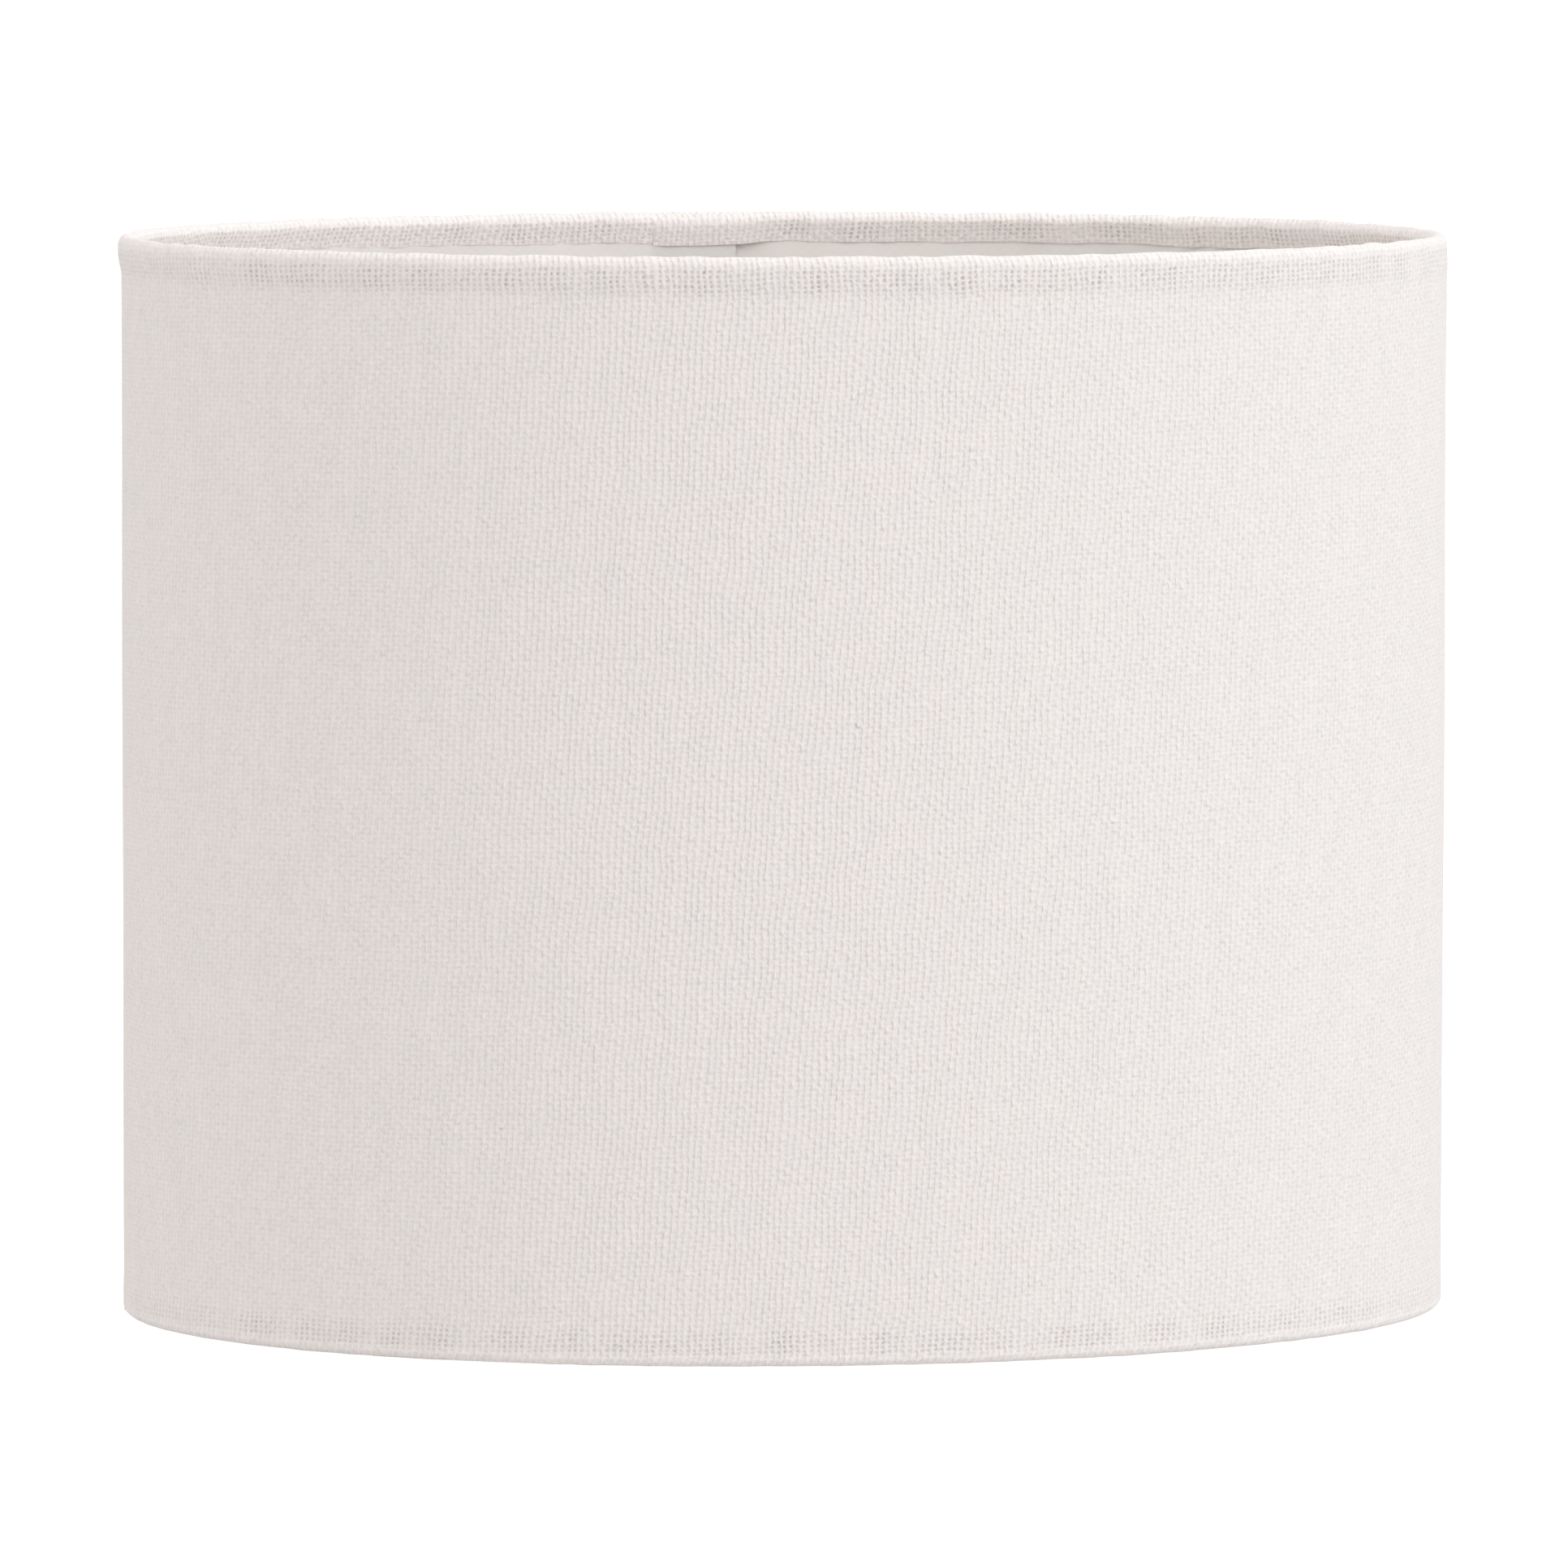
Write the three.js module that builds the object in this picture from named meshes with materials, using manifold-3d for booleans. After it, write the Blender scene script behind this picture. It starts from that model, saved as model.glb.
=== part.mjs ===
// Oval drum lamp shade: laminated fabric rolled over two wire rings, with a four-arm fitter in its lower end.
// Millimetres, +Z up. The shade stands on its lower hem with the origin under its middle, its long side
// along X and its lapped seam at the back, +Y.
import * as THREE from "three";
import { mergeVertices } from "three/addons/utils/BufferGeometryUtils.js";
import Module from "manifold-3d";

const wasm = await Module();
wasm.setup();

// Driving dimensions
const LONG_RADIUS = 125; // half the oval's length, out to the upper rolled rim
const SHORT_RADIUS = 87.5; // half the oval's width
const HEIGHT = 202;
const FABRIC = 0.45; // cloth thickness
const PANEL = 0.4; // stiff liner thickness
const TAPE = 0.2;
const BOND_GAP = 0.15; // left between layers that are bonded in the real shade
const JOIN_GAP = 0.3; // left between welded or resting pieces
const WIRE_RADIUS = 1; // rim ring wire
const ARM_RADIUS = 1.1; // spider wire
const UPPER_PROUD = 0.6; // how far the upper rolled rim stands out from the wall
const LOWER_PROUD = 0.1; // the same for the lower one
const HEM = 6.4; // height of the rolled and tucked hem
const PANEL_INSET = 5; // from a rim to the panel's edge
const LAP = 16; // overlap of the panel's two ends
const LAP_SHIFT = -4.5; // the seam's middle, along X from the back's middle
const COLLAR_HEIGHT = 24; // underside of the fitter collar
const COLLAR_THICKNESS = 1.6;
const COLLAR_BORE = 21.2; // an E27 holder's neck passes this radius
const COLLAR_RADIUS = 29;
const REDUCER_BORE = 14.6; // an E14 holder's neck passes this radius
const REDUCER_WALL = 1.5;
const REDUCER_LIP = 3.6; // how far its flange reaches over the collar
const REDUCER_DROP = 1.1; // how far its floor hangs below the collar's underside
const NOTCH_FLOOR = 0.7; // lowest point of the notches snipped in the lower hem for the arms
const ARM_ON_RING = 2.2; // height of an arm's end beside the lower ring
const ARM_LEVEL = 6; // level stretch at each end of an arm
const ARM_UNDER_COLLAR = 3.4; // how far an arm reaches in under the collar

// Fineness
const OVAL_STEPS = 64;
const ROLL_STEPS = 5; // odd, so that one facet of the lower roll lies flat
const WIRE_SIDES = 8;
const ARM_STEPS = 14;
const RING_STEPS = 48;

// Worked-out dimensions. An inset is a distance inwards from the upper rim's outermost oval.
const ROLL_RADIUS = WIRE_RADIUS + BOND_GAP + FABRIC;
const ROLL_CENTRE = ROLL_RADIUS * Math.cos(Math.PI / ROLL_STEPS / 2); // puts the flat facet at z = 0
const UPPER_ROLL_INSET = ROLL_RADIUS;
const LOWER_ROLL_INSET = UPPER_PROUD - LOWER_PROUD + ROLL_RADIUS;
const PANEL_OUTER = UPPER_PROUD + FABRIC + BOND_GAP;
const TAPE_OUTER = PANEL_OUTER + PANEL + BOND_GAP;
const LAP_OUTER = TAPE_OUTER + TAPE + BOND_GAP;
const BACK = Math.PI / 2; // the oval angle of the back's middle

// A point of the oval at an angle, moved inwards square to the curve.
function ovalPoint(angle, inset) {
  const x = LONG_RADIUS * Math.cos(angle);
  const y = SHORT_RADIUS * Math.sin(angle);
  const normal = new THREE.Vector2(x / LONG_RADIUS ** 2, y / SHORT_RADIUS ** 2).normalize();
  return new THREE.Vector2(x, y).addScaledVector(normal, -inset);
}

function indexed(positions, faces) {
  const geometry = new THREE.BufferGeometry();
  geometry.setAttribute("position", new THREE.Float32BufferAttribute(positions, 3));
  geometry.setIndex(faces);
  return geometry;
}

// A closed body: a closed outline of [inset, z] points carried once round the oval. The outline runs
// clockwise when seen with the outside of the shade to the left.
function sweepRoundOval(outline) {
  const positions = [];
  const faces = [];
  const count = outline.length;
  for (let i = 0; i < OVAL_STEPS; i++) {
    const angle = (i / OVAL_STEPS) * 2 * Math.PI;
    for (const [inset, z] of outline) {
      const p = ovalPoint(angle, inset);
      positions.push(p.x, p.y, z);
    }
    const here = i * count;
    const next = ((i + 1) % OVAL_STEPS) * count;
    for (let j = 0; j < count; j++) {
      const k = (j + 1) % count;
      faces.push(here + j, next + j, next + k, here + j, next + k, here + k);
    }
  }
  return indexed(positions, faces);
}

// An arc of [inset, z] points round a roll's centre, from one angle to another; angle 0 points outwards.
function rollArc(centreInset, centreZ, radius, from, to) {
  const points = [];
  for (let i = 0; i <= ROLL_STEPS; i++) {
    const angle = from + ((to - from) * i) / ROLL_STEPS;
    points.push([centreInset - radius * Math.cos(angle), centreZ + radius * Math.sin(angle)]);
  }
  return points;
}

// One face of the cloth from the lower flap's edge, round the lower roll, up the wall, over the upper roll
// and down to the upper flap's edge. depth is how far the face lies inside the cloth's outer face.
function clothFace(depth) {
  const radius = ROLL_RADIUS - depth;
  const hipHeight = 2 * ROLL_RADIUS; // where the cloth leaves a roll and draws in to the wall
  return [
    [LOWER_ROLL_INSET + radius, HEM],
    ...rollArc(LOWER_ROLL_INSET, ROLL_CENTRE, radius, -Math.PI, 0),
    [LOWER_ROLL_INSET - radius, hipHeight],
    [UPPER_PROUD + depth, HEM],
    [UPPER_PROUD + depth, HEIGHT - HEM],
    [UPPER_ROLL_INSET - radius, HEIGHT - hipHeight],
    ...rollArc(UPPER_ROLL_INSET, HEIGHT - ROLL_CENTRE, radius, 0, Math.PI),
    [UPPER_ROLL_INSET + radius, HEIGHT - HEM],
  ];
}

function solidOf(geometry) {
  const bare = geometry.clone();
  bare.deleteAttribute("normal");
  bare.deleteAttribute("uv");
  const merged = mergeVertices(bare, 1e-4);
  const vertProperties = new Float32Array(merged.attributes.position.array);
  const triVerts = new Uint32Array(merged.index.array);
  return new wasm.Manifold(new wasm.Mesh({ numProp: 3, vertProperties, triVerts }));
}

function geometryOf(solid) {
  const mesh = solid.getMesh();
  return indexed(Array.from(mesh.vertProperties), Array.from(mesh.triVerts));
}

// The four places where an arm meets the lower ring.
const ARMS = [
  { name: "spider_arm_right", direction: new THREE.Vector3(1, 0, 0), reach: LONG_RADIUS },
  { name: "spider_arm_back", direction: new THREE.Vector3(0, 1, 0), reach: SHORT_RADIUS },
  { name: "spider_arm_left", direction: new THREE.Vector3(-1, 0, 0), reach: LONG_RADIUS },
  { name: "spider_arm_front", direction: new THREE.Vector3(0, -1, 0), reach: SHORT_RADIUS },
];

// The cloth, with a notch snipped in its lower flap round the end of each arm.
function fabricCover() {
  const outline = [...clothFace(0), ...clothFace(FABRIC).reverse()];
  let cloth = solidOf(sweepRoundOval(outline));
  const width = 2 * ARM_RADIUS + 2 * JOIN_GAP;
  const depth = 2 * ROLL_RADIUS; // from near the middle of the roll, in through the flap
  const height = 2 * HEM - NOTCH_FLOOR;
  for (const { direction, reach } of ARMS) {
    const notch = new THREE.BoxGeometry(depth, width, height);
    notch.translate(reach - LOWER_ROLL_INSET - WIRE_RADIUS / 2 - depth / 2, 0, NOTCH_FLOOR + height / 2);
    notch.rotateZ(Math.atan2(direction.y, direction.x));
    cloth = cloth.subtract(solidOf(notch));
  }
  return geometryOf(cloth);
}

function wireRing(centreInset, centreZ) {
  const outline = [];
  for (let i = 0; i < WIRE_SIDES; i++) {
    const angle = ((i + 0.5) / WIRE_SIDES) * 2 * Math.PI;
    outline.push([centreInset - WIRE_RADIUS * Math.cos(angle), centreZ + WIRE_RADIUS * Math.sin(angle)]);
  }
  return sweepRoundOval(outline);
}

// Angles along the oval from one signed distance to another, both measured from the seam's middle at the
// back. A positive distance lies towards -X.
function anglesAlong(from, to, steps) {
  const middle = BACK - LAP_SHIFT / LONG_RADIUS;
  const angleAt = (distance) => middle + distance / LONG_RADIUS; // the back is nearly straight
  return Array.from({ length: steps + 1 }, (_, i) => angleAt(from + ((to - from) * i) / steps));
}

// A sheet that stands on edge: it follows the stations' outer insets and has one thickness.
function standingSheet(stations, thickness, low, high) {
  const outer = stations.map(({ angle, inset }) => ovalPoint(angle, inset));
  const inner = stations.map(({ angle, inset }) => ovalPoint(angle, inset + thickness)).reverse();
  const shape = new THREE.Shape([...outer, ...inner]);
  const geometry = new THREE.ExtrudeGeometry(shape, { depth: high - low, bevelEnabled: false });
  geometry.translate(0, 0, low);
  return geometry;
}

// The stiff panel: once round the oval, with its last stretch stepped in behind its first.
function linerPanel() {
  const stepIn = 12; // the length over which the inner end draws in behind the outer end
  const outerEnd = anglesAlong(-LAP / 2, LAP / 2 + stepIn, 5);
  const first = outerEnd[0];
  const lapStart = first + 2 * Math.PI;
  const roundStart = outerEnd.at(-1);
  const roundEnd = lapStart - stepIn / LONG_RADIUS;
  const round = Array.from({ length: OVAL_STEPS }, (_, i) =>
    roundStart + ((roundEnd - roundStart) * (i + 1)) / OVAL_STEPS);
  const lap = anglesAlong(-LAP / 2, LAP / 2, 3).map((angle) => angle + 2 * Math.PI);
  const stations = [
    ...[...outerEnd, ...round].map((angle) => ({ angle, inset: PANEL_OUTER })),
    ...lap.map((angle) => ({ angle, inset: LAP_OUTER })),
  ];
  return standingSheet(stations, PANEL, PANEL_INSET, HEIGHT - PANEL_INSET);
}

function seamTape() {
  const sideMargin = 2;
  const endMargin = 3;
  const stations = anglesAlong(-LAP / 2 + sideMargin, LAP / 2 - sideMargin, 3)
    .map((angle) => ({ angle, inset: TAPE_OUTER }));
  return standingSheet(stations, TAPE, PANEL_INSET + endMargin, HEIGHT - PANEL_INSET - endMargin);
}

// An arm rises from the lower ring's inner side and ends flat under the collar.
function spiderArm({ direction, reach }) {
  const underCollar = COLLAR_HEIGHT - BOND_GAP - ARM_RADIUS;
  const outerEnd = reach - LOWER_ROLL_INSET - WIRE_RADIUS - BOND_GAP;
  const innerEnd = COLLAR_RADIUS - ARM_UNDER_COLLAR;
  const route = [
    [outerEnd, ARM_ON_RING],
    [outerEnd - ARM_LEVEL, ARM_ON_RING + ARM_RADIUS / 2],
    [innerEnd + 2 * ARM_LEVEL, underCollar - ARM_RADIUS],
    [innerEnd + ARM_LEVEL, underCollar],
    [innerEnd, underCollar],
  ].map(([out, z]) => direction.clone().multiplyScalar(out).setZ(z));
  const path = new THREE.CatmullRomCurve3(route, false, "centripetal");
  const section = new THREE.Shape();
  for (let i = 0; i < WIRE_SIDES; i++) {
    const angle = ((i + 0.5) / WIRE_SIDES) * 2 * Math.PI;
    const point = [ARM_RADIUS * Math.cos(angle), ARM_RADIUS * Math.sin(angle)];
    if (i === 0) section.moveTo(...point);
    else section.lineTo(...point);
  }
  section.closePath();
  return new THREE.ExtrudeGeometry(section, { steps: ARM_STEPS, extrudePath: path, bevelEnabled: false });
}

// A ring turned from a closed outline of [radius, z] points.
function turnedRing(outline) {
  const points = outline.map(([radius, z]) => new THREE.Vector2(radius, z));
  const turned = new THREE.LatheGeometry([...points, points[0].clone()], RING_STEPS);
  turned.rotateX(Math.PI / 2);
  turned.deleteAttribute("normal");
  turned.deleteAttribute("uv");
  return mergeVertices(turned, 1e-4);
}

function fitterCollar() {
  const top = COLLAR_HEIGHT + COLLAR_THICKNESS;
  const edge = 0.4; // softened edges
  return turnedRing([
    [COLLAR_BORE, COLLAR_HEIGHT],
    [COLLAR_RADIUS - edge, COLLAR_HEIGHT],
    [COLLAR_RADIUS, COLLAR_HEIGHT + edge],
    [COLLAR_RADIUS, top - edge],
    [COLLAR_RADIUS - edge, top],
    [COLLAR_BORE, top],
  ]);
}

// The reducer is a dished washer: a flange that rests on the collar, a neck in its bore and a lower floor.
function reducerRing() {
  const flangeLow = COLLAR_HEIGHT + COLLAR_THICKNESS + JOIN_GAP;
  const flangeTop = flangeLow + REDUCER_WALL;
  const neck = COLLAR_BORE - JOIN_GAP;
  const floorLow = COLLAR_HEIGHT - REDUCER_DROP;
  return turnedRing([
    [REDUCER_BORE, floorLow],
    [neck, floorLow],
    [neck, flangeLow],
    [neck + REDUCER_LIP, flangeLow],
    [neck + REDUCER_LIP, flangeTop],
    [neck - REDUCER_WALL, flangeTop],
    [neck - REDUCER_WALL, floorLow + REDUCER_WALL],
    [REDUCER_BORE, floorLow + REDUCER_WALL],
  ]);
}

const linen = new THREE.MeshStandardMaterial({ color: 0xe6e1dc, roughness: 0.9, metalness: 0 });
const satinPanel = new THREE.MeshStandardMaterial({ color: 0xf3f0ec, roughness: 0.45, metalness: 0 });
const clearTape = new THREE.MeshStandardMaterial({ color: 0xf0eee8, roughness: 0.5, metalness: 0 });
const coatedWire = new THREE.MeshStandardMaterial({ color: 0xf2f2f0, roughness: 0.4, metalness: 0 });
const whitePlastic = new THREE.MeshStandardMaterial({ color: 0xf4f4f2, roughness: 0.5, metalness: 0 });

const shade = new THREE.Group();

function add(name, geometry, material) {
  const mesh = new THREE.Mesh(geometry, material);
  mesh.name = name;
  shade.add(mesh);
}

add("fabric_cover", fabricCover(), linen);
add("liner_panel", linerPanel(), satinPanel);
add("seam_tape", seamTape(), clearTape);
add("top_ring", wireRing(UPPER_ROLL_INSET, HEIGHT - ROLL_CENTRE), coatedWire);
add("bottom_ring", wireRing(LOWER_ROLL_INSET, ROLL_CENTRE), coatedWire);
for (const arm of ARMS) add(arm.name, spiderArm(arm), coatedWire);
add("fitter_collar", fitterCollar(), coatedWire);
add("reducer_ring", reducerRing(), whitePlastic);

export default shade;
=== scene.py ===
"""The looks of an oval drum lamp shade in woven fabric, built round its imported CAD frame. Metres, +Z up."""
import math

import bpy
import numpy as np
from mathutils import Matrix, Vector


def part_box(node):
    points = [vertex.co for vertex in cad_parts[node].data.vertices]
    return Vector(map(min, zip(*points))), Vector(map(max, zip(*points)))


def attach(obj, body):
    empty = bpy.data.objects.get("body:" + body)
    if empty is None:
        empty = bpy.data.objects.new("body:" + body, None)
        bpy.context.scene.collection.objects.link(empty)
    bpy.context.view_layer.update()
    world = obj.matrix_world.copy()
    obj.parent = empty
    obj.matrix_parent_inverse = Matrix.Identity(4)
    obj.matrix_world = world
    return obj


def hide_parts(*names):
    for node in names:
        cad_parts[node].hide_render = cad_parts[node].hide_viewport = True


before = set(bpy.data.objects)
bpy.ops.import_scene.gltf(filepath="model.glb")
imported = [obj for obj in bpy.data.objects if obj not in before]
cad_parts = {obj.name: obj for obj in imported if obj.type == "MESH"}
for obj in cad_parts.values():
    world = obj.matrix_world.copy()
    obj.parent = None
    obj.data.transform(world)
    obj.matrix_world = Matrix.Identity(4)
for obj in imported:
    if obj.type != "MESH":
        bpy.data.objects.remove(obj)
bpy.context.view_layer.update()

MM = 0.001

# ---------------------------------------------------------------- driving dimensions, in millimetres
COVER_LOW, COVER_HIGH = (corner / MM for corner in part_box("fabric_cover"))
LONG_RADIUS, SHORT_RADIUS, TOP = COVER_HIGH.x, COVER_HIGH.y, COVER_HIGH.z
CLOTH = 0.45  # thickness of the woven cloth
PANEL = 0.4  # thickness of the stiff liner
TAPE = 0.12
ROLL_RADIUS = 1.6  # outside of the cloth where it goes round a rim wire
WIRE_RADIUS = 1.0
WALL_INSET = 0.6  # from the upper rim's outermost oval in to the wall's outer face
UPPER_ROLL = 1.88  # insets of the two wires
LOWER_ROLL = 2.1
HEM_JOIN = 9.0  # height of the hem pieces, where the wall piece takes over
PANEL_EDGE = 5.0  # from a rim to the liner's edge
LAP = 16.0  # overlap of the strip's two ends
SEAM_X = -7.5  # the seam's middle, at the back
WALL_STEP = 1.3  # how far the seam's outer end stands out on the wall
ROLL_STEP = 0.2  # and where it is pressed down over the rims
UPPER_SHIFT = -0.33  # the upper wire sits this far off centre, along X
WARP_PITCH = 1.2  # from one upright thread to the next
WEFT_PITCH = 0.9  # from one level thread to the next
WARP_LEAN, WEFT_LEAN = 0.066, 0.026  # the cloth was cut a little off its grain
RELIEF = 0.21  # how far the threads stand up
COLUMN = 0.75  # spacing of the cloth's mesh columns
GLUE = 0.04  # between the cloth and the liner
ARM_RADIUS = 1.1
COLLAR_BORE = 21.2  # radius of the E27 hole
REDUCER_BORE, REDUCER_NECK, REDUCER_WALL = 14.6, 20.9, 1.5  # radius of the E14 hole, of its neck, and thickness
SHARP_EDGE = math.radians(35)  # shading breaks where faces meet more steeply


# ---------------------------------------------------------------- the oval and what is swept round it
def oval(angle):
    """Points of the outermost oval and its outward normals, for an array of angles from +X."""
    point = np.stack([LONG_RADIUS * np.cos(angle), SHORT_RADIUS * np.sin(angle)], -1)
    normal = point / np.array([LONG_RADIUS**2, SHORT_RADIUS**2])
    return point, normal / np.linalg.norm(normal, axis=-1, keepdims=True)


SEAM_START = math.acos((SEAM_X + LAP / 2) / LONG_RADIUS)  # the strip starts here, and runs anticlockwise
TURN = SEAM_START + np.linspace(0, 2 * math.pi, 7201)
_point, _normal = oval(TURN)
_wall = _point - _normal * (WALL_INSET + CLOTH / 2)
RUN = np.concatenate([[0], np.cumsum(np.linalg.norm(np.diff(_wall, axis=0), axis=1))])
ROUND = RUN[-1]  # once round the wall
STRIP = ROUND + LAP  # the whole strip of cloth


def along(s):
    """Outermost oval and normal at distances s along the strip, which may pass one full turn."""
    return oval(np.interp(np.mod(s, ROUND), RUN, TURN))


def standing(point, outward, inset, height):
    """A grid of points [columns, rows, 3], so far in from the outermost oval and so high."""
    grid = np.empty((len(point), height.shape[-1], 3))
    grid[..., :2] = point[:, None] - outward[:, None] * inset[..., None]
    grid[..., 2] = height
    return grid


def distance_at(angle):
    """Distance along the strip of an angle from +X."""
    return float(np.interp(SEAM_START + (angle - SEAM_START) % (2 * math.pi), TURN, RUN))


def smooth(x):
    x = np.clip(x, 0, 1)
    return x * x * (3 - 2 * x)


def wobble(s, waves, seed):
    """A smooth random curve of about unit height, round the strip, with so many waves to a turn."""
    rng = np.random.default_rng(seed)
    low, high = waves
    counts = np.arange(low, high + 1)
    heights = rng.normal(size=len(counts)) / math.sqrt(len(counts)) * 1.4
    phases = rng.uniform(0, 2 * math.pi, len(counts))
    return (heights * np.sin(2 * math.pi * counts * np.asarray(s)[..., None] / ROUND + phases)).sum(-1)


def build(name, points, faces, uvs=None, values=None):
    """A smooth-shaded mesh object from points in millimetres, with per-point UVs and named values."""
    mesh = bpy.data.meshes.new(name)
    mesh.from_pydata((np.asarray(points) * MM).tolist(), [], faces)
    mesh.validate()
    if uvs is not None:
        layer = mesh.uv_layers.new(name="Cloth")
        corner = np.zeros(len(mesh.loops), np.int32)
        mesh.loops.foreach_get("vertex_index", corner)
        layer.data.foreach_set("uv", np.asarray(uvs, np.float32)[corner].ravel())
    for key, value in (values or {}).items():
        mesh.attributes.new(key, "FLOAT", "POINT").data.foreach_set("value", np.asarray(value, np.float32))
    mesh.polygons.foreach_set("use_smooth", [True] * len(mesh.polygons))
    mesh.set_sharp_from_angle(angle=SHARP_EDGE)
    piece = bpy.data.objects.new(name, mesh)
    bpy.context.collection.objects.link(piece)
    return piece


def grid_normals(grid):
    """Unit normals of a grid of points [columns, rows, 3]."""
    across = np.gradient(grid, axis=0)
    up = np.gradient(grid, axis=1)
    normal = np.cross(across, up)
    return normal / np.maximum(np.linalg.norm(normal, axis=2, keepdims=True), 1e-9)


def thick_sheet(name, grid, thickness, uv, values, kept=None):
    """A sheet with real thickness round a grid of middle points. Cells not kept are cut out of it."""
    columns, rows = grid.shape[:2]
    if kept is None:
        kept = np.ones((columns - 1, rows - 1), bool)
    offset = grid_normals(grid) * np.broadcast_to(thickness, (columns, rows))[..., None] / 2
    points = np.concatenate([(grid + offset).reshape(-1, 3), (grid - offset).reshape(-1, 3)])
    back = columns * rows
    index = np.arange(back).reshape(columns, rows)
    a, b, c, d = index[:-1, :-1], index[1:, :-1], index[1:, 1:], index[:-1, 1:]
    faces = [np.stack([a, b, c, d], -1)[kept], back + np.stack([a, d, c, b], -1)[kept]]
    framed = np.pad(kept, 1)
    sides = (
        (framed[1:-1, :-2], a, b),
        (framed[2:, 1:-1], b, c),
        (framed[1:-1, 2:], c, d),
        (framed[:-2, 1:-1], d, a),
    )
    for neighbour, first, second in sides:
        edge = kept & ~neighbour
        faces.append(np.stack([second, first, back + first, back + second], -1)[edge])
    faces = np.concatenate(faces)
    used = np.unique(faces)
    renumber = np.zeros(len(points), np.int64)
    renumber[used] = np.arange(len(used))
    flat_uv = np.tile(uv.reshape(-1, 2), (2, 1))[used]
    flat_values = {key: np.tile(value.ravel(), 2)[used] for key, value in values.items()}
    return build(name, points[used], renumber[faces].tolist(), flat_uv, flat_values)


def tube(name, path, radii, sides=20):
    """A round bar along a path of points, closed at both ends."""
    path = np.asarray(path, float)
    tangent = np.gradient(path, axis=0)
    tangent /= np.linalg.norm(tangent, axis=1, keepdims=True)
    side = np.cross(tangent, [0, 0, 1.0])
    side /= np.linalg.norm(side, axis=1, keepdims=True)
    rise = np.cross(side, tangent)
    turn = np.linspace(0, 2 * math.pi, sides, endpoint=False)
    circle = np.cos(turn)[:, None, None] * side + np.sin(turn)[:, None, None] * rise
    rings = (path + circle * np.asarray(radii)[:, None]).transpose(1, 0, 2)
    points = rings.reshape(-1, 3)
    count = len(path)
    faces = [
        [i * sides + j, i * sides + (j + 1) % sides, (i + 1) * sides + (j + 1) % sides, (i + 1) * sides + j]
        for i in range(count - 1)
        for j in range(sides)
    ]
    faces.append(list(range(sides))[::-1])
    faces.append([(count - 1) * sides + j for j in range(sides)])
    return build(name, points, [face[::-1] for face in faces])


# ---------------------------------------------------------------- the strip of cloth
def strip_columns(end_fold=True):
    """Columns of the strip: distance along it, and how far its outer end lies above its inner end."""
    s = np.linspace(0, STRIP, int(STRIP / COLUMN) + 1)
    rise = smooth((s - (ROUND - 8)) / 7.5)
    drop = np.zeros_like(s)
    if end_fold:  # the outer end is turned under in a small round fold
        fold = 0.27
        turn = np.linspace(0, math.pi, 8)[1:]
        s = np.concatenate([s, STRIP + fold * np.sin(turn), STRIP - np.array([1.0, 2.5, 4.0])])
        drop = np.concatenate([drop, fold * (1 - np.cos(turn)), [2 * fold] * 3])
        rise = np.concatenate([rise, np.ones(len(turn) + 3)])
    return s, rise, drop


def polar(centre_inset, centre_depth, radius, start, end, steps):
    """An arc of (inset, depth) points. At angle 0 it is outermost, and at 90 degrees uppermost."""
    turn = np.radians(np.linspace(start, end, steps))
    return np.stack([centre_inset - radius * np.cos(turn), centre_depth - radius * np.sin(turn)], -1)


def bend(start, end, steps, ease=1.0):
    """From one (inset, depth) point to another: a smooth S that leaves and arrives along the depth where ease
    is 1, and a straight slope where it is 0."""
    t = np.linspace(0, 1, steps)
    across = t + (smooth(t) - t) * ease
    return np.stack([start[0] + (end[0] - start[0]) * across, start[1] + (end[1] - start[1]) * t], -1)


def hem_section(roll_inset):
    """Middle line of a rolled hem, as (inset, depth from the rim): up the wall, over the wire, and down the
    inside on to the liner, where its cut edge is stuck."""
    middle = ROLL_RADIUS - CLOTH / 2
    wall = WALL_INSET + CLOTH / 2
    outer, inner = roll_inset - middle, roll_inset + middle
    stuck = WALL_INSET + CLOTH + GLUE + PANEL + CLOTH / 2
    parts = [
        np.array([[wall, HEM_JOIN], [wall, HEM_JOIN - 0.9]]),
        bend((wall, 7.8), (outer, 4.1), 9),
        np.array([[outer, 3.4], [outer, 2.6], [outer, 2.0]]),
        polar(roll_inset, ROLL_RADIUS, middle, 0, 180, 15),
        bend((inner, 1.75), (stuck, 5.5), 12, 0.35),
        np.array([[stuck - 0.05, 5.65], [stuck - 0.1, 5.8]]),
    ]
    return np.concatenate(parts)


def arm_distances():
    """Where the spider arms cross the strip, the lapped stretch counted in both of its layers."""
    places = [distance_at(math.radians(angle)) for angle in (0, 90, 180, 270)]
    return places + [place + ROUND for place in places if place < LAP]


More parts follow.
